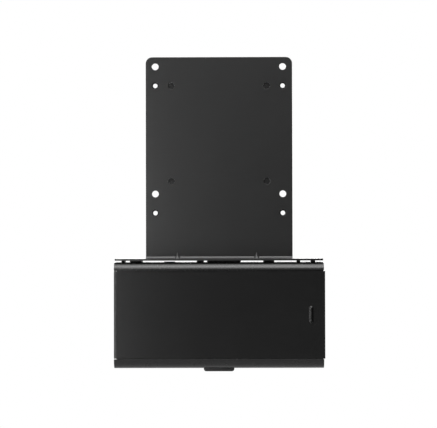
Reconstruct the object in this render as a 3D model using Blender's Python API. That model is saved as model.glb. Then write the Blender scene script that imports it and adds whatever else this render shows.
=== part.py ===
"""A bracket that carries a small computer, with a covered bay for its power brick below it.

All sizes are in millimetres, and meshes are scaled to metres when they are made.
X points right, +Y to the rear and +Z up. The origin is the centre of the 100 mm hole
pattern, on the rear face of the mounting plate.
"""

import math

import bpy

MM = 0.001

# Mounting plate and its shelf, one bent sheet
PLATE_SHEET = 1.5
PLATE_HALF_WIDTH = 57.5
PLATE_TOP = 57.5
PLATE_CORNER = 5.0
PLATE_BEND = 2.0
SHELF_TOP = -100.6
SHELF_FRONT = -42.3
SHELF_HALF_WIDTH = 79.2
SHELF_CORNER = 4.0
GUSSETS_X = (-32.7, 29.3)
GUSSET_SIZE = 4.6
GUSSET_WIDTH = 4.8

# Hole patterns in the plate
LARGE_PATTERN = 100.0
SMALL_PATTERN = 75.0
PATTERN_DROP = 15.0
CLEARANCE_HOLE = 5.3
NUT_HOLE = 5.8
NUT_OUTER = 5.4
NUT_BORE = 3.6
NUT_SUNK = 0.2
STUD_HOLE = 5.6
STUD_HEAD = 5.2
STUD_HEAD_SUNK = 0.8
STUD_THREAD = 4.0
STUD_LENGTH = 7.0

# Tray that holds the power brick
TRAY_SHEET = 1.2
TRAY_HALF_WIDTH = 79.45
TRAY_TOP = -103.4
TRAY_BOTTOM = -183.6
TRAY_REAR = -1.0
TRAY_FRONT = -45.0
LIP_RADIUS = 6.5
UPPER_LIP_LEAN = 18.0
UPPER_LIP_END = -109.7
LOWER_LIP_RADIUS = 6.4
LOWER_LIP_LEAN = 25.0
LOWER_LIP_EASE = 12.0
LOWER_LIP_END = -176.5
REAR_RADIUS = 2.5
END_TAB_DEPTH = 18.0
END_TAB_HALF_HEIGHT = 14.0
VENT_LENGTH = 34.0
VENT_WIDTH = 5.0
VENT_PITCH = 13.0
VENT_COUNT = 3

# Sliding cover
COVER_SHEET = 1.0
COVER_FACE = -45.3
COVER_TOP = -110.0
COVER_BOTTOM = -176.2
COVER_LEFT = -79.5
COVER_RIGHT = 80.25
COVER_BEND = 0.8
COVER_EDGE_RADIUS = 1.6
COVER_RETURN = 3.0
COVER_EDGE_MARGIN = 0.1
FLANGE_FACE = -42.2
FLANGE_TOP = -107.0
FLANGE_BOTTOM = -180.2
FLANGE_LEFT = -77.6
FLANGE_RIGHT = 79.2
EDGE_OVERLAP = 1.0
TRIM_EASE = 0.1
SLOT_EASE = 0.2
RETURN_TRIM_TOP = -169.5
RIB_X = 69.75
RIB_Z = -143.1
RIB_WIDTH = 3.6
RIB_HEIGHT = 13.4
RIB_RISE = 1.1
RIB_DRAFT = 0.65

# Catch under the tray
BUTTON_HALF_WIDTH = 11.6
BUTTON_FRONT = -39.2
BUTTON_REAR = -33.6
BUTTON_BOTTOM = -186.1
BUTTON_TOP = -181.0
BUTTON_CORNER = 1.9
SHOULDER_HALF_WIDTH = 14.0
SHOULDER_BOTTOM = -182.0
STEM_HALF_WIDTH = 4.0
STEM_FRONT = -40.8
STEM_REAR = -38.7
HOOK_FRONT = -43.3
HOOK_BOTTOM = -174.8
HOOK_TOP = -173.0
HOOK_CHAMFER = 0.8
OVERLAP = 0.5
WINDOW_MARGIN = 0.4
BRIDGE_SHEET = 1.2
BRIDGE_TOP = -172.2
BRIDGE_HALF_WIDTH = 16.6
BRIDGE_FOOT_END = 26.0
BRIDGE_FRONT = -38.2
BRIDGE_REAR = -32.6
BRIDGE_RIVET_X = 21.8
BRIDGE_BEND = 1.4
SPRING_RADIUS = 2.0
SPRING_WIRE = 0.6
SPRING_TURNS = 5

# Guides, stop, spacers, pads and rivets
GLIDE_REACH = 3.4
GLIDE_GAP = 0.3
GLIDE_UPRIGHT_FRONT = -40.9
GLIDE_UPRIGHT_REAR = -38.9
GLIDE_REAR = -36.9
GLIDE_UPRIGHT_END = 0.8
GLIDE_END = 78.0
GLIDE_END_WALL = 79.2
GLIDE_BREAK = 2.0
STOP_LEFT = 32.0
STOP_RIGHT = 42.0
STOP_DROP = -112.9
STOP_FRONT = -43.6
STOP_RIVET_Y = -31.5
STOP_REAR = -28.0
STOP_BEND = 1.2
SPACER_GAP = 0.05
SPACER_FRONT = -30.0
SPACER_REAR = -16.0
SHORT_SPACER_REAR = -25.0
LOW_SPACER_HEIGHT = 0.5
PAD_THICKNESS = 2.0
PAD_INNER_X = 24.0
PAD_OUTER_X = 66.0
PAD_TOP = -115.0
PAD_BOTTOM = -172.0
RIVET_RADIUS = 1.25
RIVET_HOLE_RADIUS = 1.6
RIVET_HEAD_RADIUS = 2.4
RIVET_HEAD_HEIGHT = 0.8
RIVET_CROWN_RADIUS = 1.5
SHELF_RIVETS_X = (-63.7, -14.4, 4.0, 38.2, 60.9)

CIRCLE = 24
CUT_MARGIN = 1.0


def clear_scene():
    """Removes every object that is already in the file."""
    for obj in list(bpy.data.objects):
        bpy.data.objects.remove(obj, do_unlink=True)


def material(name, colour, roughness, metallic):
    """A Principled material of one colour."""
    made = bpy.data.materials.new(name)
    made.use_nodes = True
    shader = made.node_tree.nodes["Principled BSDF"]
    shader.inputs["Base Color"].default_value = (*colour, 1.0)
    shader.inputs["Roughness"].default_value = roughness
    shader.inputs["Metallic"].default_value = metallic
    made.diffuse_color = (*colour, 1.0)
    return made


def mesh_object(name, points, faces, finish):
    """An object from points in millimetres, with its faces pointing outwards."""
    mesh = bpy.data.meshes.new(name)
    mesh.from_pydata([[c * MM for c in p] for p in points], [], faces)
    if signed_volume(points, faces) < 0:
        mesh.flip_normals()
    mesh.update()
    obj = bpy.data.objects.new(name, mesh)
    bpy.context.scene.collection.objects.link(obj)
    if finish:
        mesh.materials.append(finish)
    return obj


def signed_volume(points, faces):
    """Six times the volume that the faces enclose, negative if they point inwards."""
    total = 0.0
    for face in faces:
        a = points[face[0]]
        for i in range(1, len(face) - 1):
            b = points[face[i]]
            c = points[face[i + 1]]
            total += a[0] * (b[1] * c[2] - b[2] * c[1])
            total += a[1] * (b[2] * c[0] - b[0] * c[2])
            total += a[2] * (b[0] * c[1] - b[1] * c[0])
    return total


def place(axis, along, first, second):
    """A point from its place along an axis and its other two coordinates, in X, Y, Z order."""
    if axis == "X":
        return (along, first, second)
    if axis == "Y":
        return (first, along, second)
    return (first, second, along)


def extrude(name, outline, axis, low, high, finish=None):
    """A prism: a closed outline pushed along an axis from low to high."""
    count = len(outline)
    points = [place(axis, low, a, b) for a, b in outline]
    points += [place(axis, high, a, b) for a, b in outline]
    faces = [tuple(range(count)), tuple(reversed(range(count, 2 * count)))]
    for i in range(count):
        j = (i + 1) % count
        faces.append((j, i, count + i, count + j))
    return mesh_object(name, points, faces, finish)


def block(name, low, high, finish=None):
    """A box between two corners."""
    outline = [(low[0], low[1]), (high[0], low[1]), (high[0], high[1]), (low[0], high[1])]
    return extrude(name, outline, "Z", low[2], high[2], finish)


def arc(centre, radius, start, end, steps):
    """Points along an arc, with angles in degrees from the first axis."""
    angles = [math.radians(start + (end - start) * i / steps) for i in range(steps + 1)]
    return [(centre[0] + radius * math.cos(a), centre[1] + radius * math.sin(a)) for a in angles]


def turned(name, profile, centre, axis, finish=None, bored=False, segments=CIRCLE):
    """A turned piece: (radius, place along the axis) points spun about an axis through centre."""
    points = []
    rings = []
    for radius, along in profile:
        if radius == 0:
            rings.append([len(points)] * segments)
            points.append(place(axis, along, centre[0], centre[1]))
            continue
        rings.append(list(range(len(points), len(points) + segments)))
        for i in range(segments):
            turn = 2 * math.pi * i / segments
            first = centre[0] + radius * math.cos(turn)
            second = centre[1] + radius * math.sin(turn)
            points.append(place(axis, along, first, second))
    pairs = list(zip(rings, rings[1:]))
    if bored:
        pairs.append((rings[-1], rings[0]))
    faces = []
    for here, there in pairs:
        for i in range(segments):
            j = (i + 1) % segments
            corners = [here[i], here[j], there[j], there[i]]
            faces.append(tuple(dict.fromkeys(corners)))
    made = mesh_object(name, points, faces, finish)
    made.data.shade_smooth()
    made.data.set_sharp_from_angle(angle=math.radians(35))
    return made


def rod(name, radius, centre, axis, low, high, finish=None):
    """A plain cylinder along an axis."""
    profile = [(0, low), (radius, low), (radius, high), (0, high)]
    return turned(name, profile, centre, axis, finish)


def rounded_path(corners, radius, steps=3):
    """The corners of an open line, each inner one replaced by an arc of that radius."""
    path = [corners[0]]
    for before, corner, after in zip(corners, corners[1:], corners[2:]):
        arriving = math.atan2(corner[1] - before[1], corner[0] - before[0])
        leaving = math.atan2(after[1] - corner[1], after[0] - corner[0])
        turn = (leaving - arriving + math.pi) % (2 * math.pi) - math.pi
        setback = radius * math.tan(abs(turn) / 2)
        side = math.copysign(1.0, turn)
        start_x = corner[0] - setback * math.cos(arriving)
        start_y = corner[1] - setback * math.sin(arriving)
        centre_x = start_x - side * radius * math.sin(arriving)
        centre_y = start_y + side * radius * math.cos(arriving)
        for i in range(steps + 1):
            heading = arriving + turn * i / steps
            x = centre_x + side * radius * math.sin(heading)
            y = centre_y - side * radius * math.cos(heading)
            path.append((x, y))
    path.append(corners[-1])
    return path


def thicken(path, thickness):
    """The closed outline of a sheet whose middle follows an open line."""
    left = []
    right = []
    for i, point in enumerate(path):
        before = path[max(i - 1, 0)]
        after = path[min(i + 1, len(path) - 1)]
        into = unit(before, point) or unit(point, after)
        out = unit(point, after) or into
        normal = (-(into[1] + out[1]), into[0] + out[0])
        size = math.hypot(*normal)
        cosine = (normal[0] * -into[1] + normal[1] * into[0]) / size
        reach = thickness / 2 / cosine / size
        left.append((point[0] + normal[0] * reach, point[1] + normal[1] * reach))
        right.append((point[0] - normal[0] * reach, point[1] - normal[1] * reach))
    return left + right[::-1]


def unit(start, end):
    """The direction from start to end, or None where they are the same point."""
    length = math.hypot(end[0] - start[0], end[1] - start[1])
    if length == 0:
        return None
    return ((end[0] - start[0]) / length, (end[1] - start[1]) / length)


def combine(target, tool, operation):
    """Adds a Boolean with a hidden tool object."""
    tool.hide_render = True
    tool.display_type = "WIRE"
    boolean = target.modifiers.new(tool.name, "BOOLEAN")
    boolean.operation = operation
    boolean.solver = "EXACT"
    boolean.object = tool


def cut(target, *tools):
    for tool in tools:
        combine(target, tool, "DIFFERENCE")


def join(target, *tools):
    for tool in tools:
        combine(target, tool, "UNION")


def pattern(spacing, drop=0.0):
    """The four corners of a square hole pattern, lowered by drop."""
    half = spacing / 2
    return [(x, z - drop) for x in (-half, half) for z in (half, -half)]


def corner_name(x, z, centre_z):
    side = "left" if x < 0 else "right"
    height = "upper" if z > centre_z else "lower"
    return f"{height}_{side}"


def mounting_plate(finish):
    """The upright plate and the shelf that is bent forward from it."""
    middle = PLATE_SHEET / 2
    shelf_middle = SHELF_TOP - middle
    corners = [(-middle, PLATE_TOP), (-middle, shelf_middle), (SHELF_FRONT, shelf_middle)]
    path = rounded_path(corners, PLATE_BEND + middle, steps=5)
    outline = thicken(path, PLATE_SHEET)
    plate = extrude("mounting_plate", outline, "X", -PLATE_HALF_WIDTH, PLATE_HALF_WIDTH, finish)
    join(plate, shelf_wings())
    for x in GUSSETS_X:
        join(plate, gusset(x))
    cut(plate, *plate_corner_cutters())
    for x, z in pattern(LARGE_PATTERN):
        cut(plate, plate_hole(x, z, CLEARANCE_HOLE))
    for x, z in pattern(LARGE_PATTERN, PATTERN_DROP):
        cut(plate, plate_hole(x, z, NUT_HOLE))
    for x, z in stud_places():
        cut(plate, plate_hole(x, z, STUD_HOLE))
    for x in SHELF_RIVETS_X:
        cut(plate, shelf_hole(x))
    return plate


def shelf_wings():
    """The full width of the shelf, with rounded front corners."""
    inset = SHELF_HALF_WIDTH - SHELF_CORNER
    front = SHELF_FRONT + SHELF_CORNER
    rear = -PLATE_SHEET - PLATE_BEND - 1.0
    outline = [(SHELF_HALF_WIDTH, rear), (-SHELF_HALF_WIDTH, rear)]
    outline += arc((-inset, front), SHELF_CORNER, 180, 270, 4)
    outline += arc((inset, front), SHELF_CORNER, 270, 360, 4)
    return extrude("shelf_wings_tool", outline, "Z", SHELF_TOP - PLATE_SHEET, SHELF_TOP)


def gusset(x):
    """A dimple pressed into the bend, which stiffens the corner."""
    face = -PLATE_SHEET
    root = OVERLAP
    outline = [
        (face + root, SHELF_TOP - root),
        (face + root, SHELF_TOP + GUSSET_SIZE),
        (face - GUSSET_SIZE, SHELF_TOP - root),
    ]
    half = GUSSET_WIDTH / 2
    return extrude(f"gusset_tool_{x}", outline, "X", x - half, x + half)


def plate_corner_cutters():
    """Pieces that round the two top corners of the plate."""
    cutters = []
    for side in (-1, 1):
        inner_x = side * (PLATE_HALF_WIDTH - PLATE_CORNER)
        inner_z = PLATE_TOP - PLATE_CORNER
        edge_x = side * (PLATE_HALF_WIDTH + CUT_MARGIN)
        edge_z = PLATE_TOP + CUT_MARGIN
        start = 180 if side < 0 else 0
        outline = arc((inner_x, inner_z), PLATE_CORNER, start, 90, 5)
        outline += [(inner_x, edge_z), (edge_x, edge_z), (edge_x, inner_z)]
        name = f"plate_corner_tool_{side}"
        cutters.append(extrude(name, outline, "Y", -PLATE_SHEET - CUT_MARGIN, CUT_MARGIN))
    return cutters


def plate_hole(x, z, diameter):
    low = -PLATE_SHEET - CUT_MARGIN
    return rod(f"plate_hole_tool_{x}_{z}", diameter / 2, (x, z), "Y", low, CUT_MARGIN)


def shelf_hole(x):
    y = (SPACER_FRONT + SPACER_REAR) / 2
    low = SHELF_TOP - PLATE_SHEET - CUT_MARGIN
    return rod(f"shelf_hole_tool_{x}", RIVET_HOLE_RADIUS, (x, y), "Z", low, SHELF_TOP + CUT_MARGIN)


def stud_places():
    """The 75 mm pattern, whose top row is level with the top row of nuts."""
    raised = (LARGE_PATTERN - SMALL_PATTERN) / 2
    return pattern(SMALL_PATTERN, PATTERN_DROP - raised)


def clinch_nuts(finish):
    """Threaded inserts that lie flush in the plate."""
    bore = NUT_BORE / 2
    outer = NUT_OUTER / 2
    front = -PLATE_SHEET + NUT_SUNK
    rear = -SPACER_GAP
    profile = [(bore, front), (outer, front), (outer, rear), (bore, rear)]
    for x, z in pattern(LARGE_PATTERN, PATTERN_DROP):
        name = "clinch_nut_" + corner_name(x, z, -PATTERN_DROP)
        turned(name, profile, (x, z), "Y", finish, bored=True)


def clinch_studs(finish):
    """Threaded studs whose heads lie just below the plate's front face."""
    head = STUD_HEAD / 2
    thread = STUD_THREAD / 2
    chamfer = 0.5
    profile = [
        (0, -PLATE_SHEET + STUD_HEAD_SUNK),
        (head, -PLATE_SHEET + STUD_HEAD_SUNK),
        (head, -SPACER_GAP),
        (thread, -SPACER_GAP),
        (thread, STUD_LENGTH - chamfer),
        (thread - chamfer, STUD_LENGTH),
        (0, STUD_LENGTH),
    ]
    for x, z in stud_places():
        name = "clinch_stud_" + corner_name(x, z, 0)
        turned(name, profile, (x, z), "Y", finish)


def holder_tray(finish):
    """The channel that holds the brick: top, rear and bottom walls and two rounded front lips."""
    outline = tray_outline()
    tray = extrude("holder_tray", outline, "X", -TRAY_HALF_WIDTH, TRAY_HALF_WIDTH, finish)
    for side in (-1, 1):
        join(tray, end_tab(side))
    cut(tray, button_window())
    for i in range(VENT_COUNT):
        cut(tray, vent((i - (VENT_COUNT - 1) / 2) * VENT_PITCH))
    y = (SPACER_FRONT + SPACER_REAR) / 2
    for x in SHELF_RIVETS_X:
        cut(tray, tray_hole(x, y, TRAY_TOP))
    cut(tray, tray_hole((STOP_LEFT + STOP_RIGHT) / 2, STOP_RIVET_Y, TRAY_TOP))
    for side in (-1, 1):
        y = (BRIDGE_FRONT + BRIDGE_REAR) / 2
        cut(tray, tray_hole(side * BRIDGE_RIVET_X, y, TRAY_BOTTOM))
    return tray


def tray_outline():
    """The tray's section: its outer line from the upper lip round to the lower one, and back inside."""
    return tray_line(0.0) + tray_line(TRAY_SHEET)[::-1]


def tray_line(depth):
    """The tray's outer line, moved inwards by depth.

    The upper lip's round ends in a short upright edge. The lower lip's round eases into a
    wider one towards the cover.
    """
    front = TRAY_FRONT + LIP_RADIUS
    rear = TRAY_REAR - REAR_RADIUS
    top = TRAY_TOP - LIP_RADIUS
    bottom = TRAY_BOTTOM + LOWER_LIP_RADIUS
    corner = REAR_RADIUS - depth
    edge = front - LIP_RADIUS * math.cos(math.radians(UPPER_LIP_LEAN)) + depth
    line = [(edge, UPPER_LIP_END)]
    line += arc((front, top), LIP_RADIUS - depth, 180 - UPPER_LIP_LEAN, 90, 6)
    line += arc((rear, TRAY_TOP - REAR_RADIUS), corner, 90, 0, 3)
    line += arc((rear, TRAY_BOTTOM + REAR_RADIUS), corner, 0, -90, 3)
    line += arc((front, bottom), LOWER_LIP_RADIUS - depth, -90, LOWER_LIP_LEAN - 180, 5)
    lean = math.radians(LOWER_LIP_LEAN)
    spread = LOWER_LIP_EASE - LOWER_LIP_RADIUS
    ease_y = front + spread * math.cos(lean)
    ease_z = bottom + spread * math.sin(lean)
    end = math.degrees(math.asin((ease_z - LOWER_LIP_END) / LOWER_LIP_EASE))
    line += arc((ease_y, ease_z), LOWER_LIP_EASE - depth, LOWER_LIP_LEAN - 180, end - 180, 3)[1:]
    return line


def end_tab(side):
    """A tab bent forward from the rear wall, which keeps the brick from sliding out sideways."""
    outer = side * TRAY_HALF_WIDTH
    inner = side * (TRAY_HALF_WIDTH - TRAY_SHEET)
    middle = (TRAY_TOP + TRAY_BOTTOM) / 2
    low = (min(outer, inner), TRAY_REAR - END_TAB_DEPTH, middle - END_TAB_HALF_HEIGHT)
    high = (max(outer, inner), TRAY_REAR, middle + END_TAB_HALF_HEIGHT)
    return block(f"end_tab_tool_{side}", low, high)


def button_window():
    """The opening in the bottom wall that the release button passes through."""
    half = BUTTON_HALF_WIDTH + WINDOW_MARGIN
    low = (-half, BUTTON_FRONT - WINDOW_MARGIN, TRAY_BOTTOM - CUT_MARGIN)
    high = (half, BUTTON_REAR + WINDOW_MARGIN, TRAY_BOTTOM + TRAY_SHEET + CUT_MARGIN)
    return block("button_window_tool", low, high)


def vent(x):
    """An upright slot with round ends in the rear wall."""
    radius = VENT_WIDTH / 2
    middle = (TRAY_TOP + TRAY_BOTTOM) / 2
    reach = VENT_LENGTH / 2 - radius
    outline = arc((x, middle + reach), radius, 0, 180, 6)
    outline += arc((x, middle - reach), radius, 180, 360, 6)
    low = TRAY_REAR - TRAY_SHEET - CUT_MARGIN
    return extrude(f"vent_tool_{x}", outline, "Y", low, TRAY_REAR + CUT_MARGIN)


def tray_hole(x, y, z):
    """A rivet hole through the top or the bottom wall."""
    reach = TRAY_SHEET + CUT_MARGIN
    return rod(f"tray_hole_tool_{x}_{y}_{z}", RIVET_HOLE_RADIUS, (x, y), "Z", z - reach, z + reach)


def sliding_cover(finish):
    """The front cover, stepped back along its top and bottom to run behind the tray's lips."""
    middle = COVER_SHEET / 2
    face = COVER_FACE + middle
    flange = FLANGE_FACE + middle
    top = COVER_TOP - middle
    bottom = COVER_BOTTOM + middle
    corners = [
        (flange, FLANGE_TOP),
        (flange, top),
        (face, top),
        (face, bottom),
        (flange, bottom),
        (flange, FLANGE_BOTTOM),
    ]
    outline = thicken(rounded_path(corners, COVER_BEND), COVER_SHEET)
    cover = extrude("sliding_cover", outline, "X", FLANGE_LEFT, COVER_RIGHT, finish)
    join(cover, cover_edge(), thumb_rib())
    cut(cover, return_trim(), latch_slot(), *flange_trims())
    return cover


def cover_edge():
    """The cover's rounded left edge and the short return behind it."""
    middle = COVER_SHEET / 2
    face = COVER_FACE + middle
    corners = [
        (COVER_LEFT + middle, COVER_FACE + COVER_RETURN),
        (COVER_LEFT + middle, face),
        (FLANGE_LEFT + EDGE_OVERLAP, face),
    ]
    outline = thicken(rounded_path(corners, COVER_EDGE_RADIUS - middle, steps=4), COVER_SHEET)
    low = COVER_BOTTOM + COVER_EDGE_MARGIN
    return extrude("cover_edge_tool", outline, "Z", low, COVER_TOP - COVER_EDGE_MARGIN)


def thumb_rib():
    """A raised rib near the right edge, to push the cover by."""
    base = rib_outline(0.0)
    crest = rib_outline(RIB_DRAFT)
    count = len(base)
    sunk = COVER_FACE + COVER_SHEET / 2
    points = [(x, sunk, z) for x, z in base]
    points += [(x, COVER_FACE, z) for x, z in base]
    points += [(x, COVER_FACE - RIB_RISE, z) for x, z in crest]
    faces = [tuple(range(count)), tuple(reversed(range(2 * count, 3 * count)))]
    for row in (0, count):
        for i in range(count):
            j = (i + 1) % count
            faces.append((row + j, row + i, row + count + i, row + count + j))
    return mesh_object("thumb_rib_tool", points, faces, None)


def rib_outline(inset):
    """The rib's outline with round corners, drawn in by inset."""
    radius = RIB_WIDTH / 2 - inset
    reach = RIB_HEIGHT / 2 - RIB_WIDTH / 2
    outline = arc((RIB_X, RIB_Z + reach), radius, 0, 180, 6)
    outline += arc((RIB_X, RIB_Z - reach), radius, 180, 360, 6)
    return outline


def return_trim():
    """Shortens the left return so that it clears the catch's hook as the cover slides."""
    low = (COVER_LEFT - CUT_MARGIN, COVER_FACE + COVER_EDGE_RADIUS, COVER_BOTTOM - CUT_MARGIN)
    high = (FLANGE_LEFT - TRIM_EASE, 0.0, RETURN_TRIM_TOP)
    return block("return_trim_tool", low, high)


def flange_trims():
    """Pieces that end the flanges a little short of the face's right edge."""
    front = COVER_FACE - CUT_MARGIN
    rear = FLANGE_FACE + COVER_SHEET + CUT_MARGIN
    right = COVER_RIGHT + CUT_MARGIN
    upper = block("upper_trim_tool", (FLANGE_RIGHT, front, COVER_TOP), (right, rear, FLANGE_TOP + CUT_MARGIN))
    low = FLANGE_BOTTOM - CUT_MARGIN
    lower = block("lower_trim_tool", (FLANGE_RIGHT, front, low), (right, rear, COVER_BOTTOM))
    return upper, lower


def latch_slot():
    """The slot in the cover's lower web that the hook drops into."""
    half = STEM_HALF_WIDTH + WINDOW_MARGIN
    low = (-half, HOOK_FRONT - WINDOW_MARGIN, COVER_BOTTOM - CUT_MARGIN)
    high = (half, FLANGE_FACE - SLOT_EASE, COVER_BOTTOM + COVER_SHEET + CUT_MARGIN)
    return block("latch_slot_tool", low, high)


def release_button(finish):
    """The push button under the tray, with its shoulder, stem and hook."""
    outline = button_outline()
    button = extrude("release_button", outline, "Y", BUTTON_FRONT, BUTTON_REAR, finish)
    shoulder_low = (-SHOULDER_HALF_WIDTH, BUTTON_FRONT, SHOULDER_BOTTOM)
    shoulder_high = (SHOULDER_HALF_WIDTH, BUTTON_REAR, BUTTON_TOP)
    join(button, block("shoulder_tool", shoulder_low, shoulder_high))
    hook = [
        (STEM_REAR, BUTTON_TOP - OVERLAP),
        (STEM_REAR, HOOK_TOP),
        (HOOK_FRONT + HOOK_CHAMFER, HOOK_TOP),
        (HOOK_FRONT, HOOK_TOP - HOOK_CHAMFER),
        (HOOK_FRONT, HOOK_BOTTOM),
        (STEM_FRONT, HOOK_BOTTOM),
        (STEM_FRONT, BUTTON_TOP - OVERLAP),
    ]
    join(button, extrude("hook_tool", hook, "X", -STEM_HALF_WIDTH, STEM_HALF_WIDTH))
    return button


def button_outline():
    """The button's front outline, with rounded lower corners."""
    inset = BUTTON_HALF_WIDTH - BUTTON_CORNER
    low = BUTTON_BOTTOM + BUTTON_CORNER
    outline = [(BUTTON_HALF_WIDTH, BUTTON_TOP), (-BUTTON_HALF_WIDTH, BUTTON_TOP)]
    outline += arc((-inset, low), BUTTON_CORNER, 180, 270, 4)
    outline += arc((inset, low), BUTTON_CORNER, 270, 360, 4)
    return outline


def latch_bracket(finish):
    """The bridge over the button, which the spring pushes against."""
    middle = BRIDGE_SHEET / 2
    foot = TRAY_BOTTOM + TRAY_SHEET + SPACER_GAP + middle
    top = BRIDGE_TOP - middle
    wall = BRIDGE_HALF_WIDTH - middle
    corners = [
        (-BRIDGE_FOOT_END, foot),
        (-wall, foot),
        (-wall, top),
        (wall, top),
        (wall, foot),
        (BRIDGE_FOOT_END, foot),
    ]
    outline = thicken(rounded_path(corners, BRIDGE_BEND), BRIDGE_SHEET)
    bridge = extrude("latch_bracket", outline, "Y", BRIDGE_FRONT, BRIDGE_REAR, finish)
    y = (BRIDGE_FRONT + BRIDGE_REAR) / 2
    for side in (-1, 1):
        x = side * BRIDGE_RIVET_X
        name = f"bridge_hole_tool_{side}"
        cut(bridge, rod(name, RIVET_HOLE_RADIUS, (x, y), "Z", foot - CUT_MARGIN, foot + CUT_MARGIN))
    return bridge


def button_spring(finish):
    """The compression spring between the button and the bridge."""
    low = BUTTON_TOP + SPRING_WIRE / 2 + SPACER_GAP
    high = BRIDGE_TOP - BRIDGE_SHEET - SPRING_WIRE / 2 - SPACER_GAP
    y = (BRIDGE_FRONT + BRIDGE_REAR) / 2
    steps = SPRING_TURNS * 14
    curve = bpy.data.curves.new("button_spring", "CURVE")
    curve.dimensions = "3D"
    curve.bevel_depth = SPRING_WIRE / 2 * MM
    curve.bevel_resolution = 1
    curve.use_fill_caps = True
    spline = curve.splines.new("POLY")
    spline.points.add(steps)
    for i in range(steps + 1):
        turn = 2 * math.pi * SPRING_TURNS * i / steps
        x = SPRING_RADIUS * math.cos(turn)
        z = low + (high - low) * i / steps
        spline.points[i].co = (x * MM, (y + SPRING_RADIUS * math.sin(turn)) * MM, z * MM, 1.0)
    spring = bpy.data.objects.new("button_spring", curve)
    bpy.context.scene.collection.objects.link(spring)
    curve.materials.append(finish)
    return spring


def glide(name, corner_z, toward_wall, low, high, finish, end_wall=None):
    """A guide strip bonded inside a lip: it backs the cover's flange and bears on its edge."""
    front = TRAY_FRONT + LIP_RADIUS
    radius = LIP_RADIUS - TRAY_SHEET - GLIDE_GAP
    lean = math.degrees(math.asin(GLIDE_REACH / radius))
    curve = arc((front, 0.0), radius, 90, 180 - lean, 4)
    local = [(GLIDE_REAR, radius)] + curve
    local += [(GLIDE_UPRIGHT_FRONT, GLIDE_REACH), (GLIDE_UPRIGHT_FRONT, GLIDE_UPRIGHT_END)]
    local += [(GLIDE_UPRIGHT_REAR, GLIDE_UPRIGHT_END), (GLIDE_UPRIGHT_REAR, GLIDE_REACH)]
    local += [(GLIDE_REAR, GLIDE_REACH)]
    outline = [(y, corner_z + toward_wall * up) for y, up in local]
    strip = extrude(name, outline, "X", low, high, finish)
    if end_wall:
        middle = (GLIDE_UPRIGHT_FRONT + GLIDE_UPRIGHT_REAR) / 2
        closed = [(middle, GLIDE_UPRIGHT_END), (GLIDE_REAR, GLIDE_REACH)]
        closed += [(GLIDE_REAR, radius)] + curve + [(curve[-1][0], GLIDE_UPRIGHT_END)]
        wall = [(y, corner_z + toward_wall * up) for y, up in closed]
        join(strip, extrude(f"{name}_end_tool", wall, "X", *end_wall))
    return strip


def glides(finish):
    """Four guide strips, interrupted at the travel stop and at the catch."""
    top = TRAY_TOP - LIP_RADIUS
    bottom = TRAY_BOTTOM + LIP_RADIUS
    closed = (-GLIDE_END_WALL, FLANGE_LEFT - GLIDE_GAP)
    left_end = -(GLIDE_END + GLIDE_END_WALL) / 2
    glide("upper_glide_left", top, 1, left_end, STOP_LEFT - GLIDE_BREAK, finish, closed)
    glide("upper_glide_right", top, 1, STOP_RIGHT + GLIDE_BREAK, GLIDE_END, finish)
    inner = BRIDGE_FOOT_END + GLIDE_BREAK
    glide("lower_glide_left", bottom, -1, left_end, -inner, finish, closed)
    glide("lower_glide_right", bottom, -1, inner, GLIDE_END, finish)


def travel_stop(finish):
    """A bent tab that the cover's left return meets when the cover is open."""
    middle = TRAY_SHEET / 2
    top = TRAY_TOP - TRAY_SHEET - SPACER_GAP - middle
    drop = GLIDE_UPRIGHT_REAR + TRAY_SHEET
    corners = [(STOP_REAR, top), (drop, top), (drop, STOP_DROP), (STOP_FRONT, STOP_DROP)]
    outline = thicken(rounded_path(corners, STOP_BEND), TRAY_SHEET)
    stop = extrude("travel_stop", outline, "X", STOP_LEFT, STOP_RIGHT, finish)
    x = (STOP_LEFT + STOP_RIGHT) / 2
    low = top - CUT_MARGIN
    cut(stop, rod("stop_hole_tool", RIVET_HOLE_RADIUS, (x, STOP_RIVET_Y), "Z", low, top + CUT_MARGIN))
    return stop


def spacer(name, low_x, high_x, finish, rivet_x=None, rear=SPACER_REAR, top=None):
    """A flat steel packer between the shelf and the tray."""
    bottom = TRAY_TOP + SPACER_GAP
    if top is None:
        top = SHELF_TOP - PLATE_SHEET - SPACER_GAP
    made = block(name, (low_x, SPACER_FRONT, bottom), (high_x, rear, top), finish)
    if rivet_x is not None:
        y = (SPACER_FRONT + SPACER_REAR) / 2
        low = bottom - CUT_MARGIN
        high = top + CUT_MARGIN
        cut(made, rod(f"{name}_hole_tool", RIVET_HOLE_RADIUS, (rivet_x, y), "Z", low, high))
    return made


def spacers(finish):
    """Packers that hold the tray a little below the shelf."""
    left_x, inner_left_x, centre_x, inner_right_x, _ = SHELF_RIVETS_X
    low_top = TRAY_TOP + LOW_SPACER_HEIGHT
    spacer("spacer_end_left", -74.7, -72.2, finish)
    spacer("spacer_outer_left", -68.3, -59.0, finish, left_x)
    spacer("spacer_inner_left", -42.1, -33.9, finish, top=low_top)
    spacer("spacer_centre_left", -17.0, -11.7, finish, inner_left_x)
    spacer("spacer_centre", -9.1, 16.8, finish, centre_x)
    spacer("spacer_inner_right", 34.1, 42.3, finish, inner_right_x)
    spacer("spacer_outer_right", 59.6, 62.2, finish, rear=SHORT_SPACER_REAR)
    spacer("spacer_end_right", 70.7, 73.7, finish)


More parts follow.
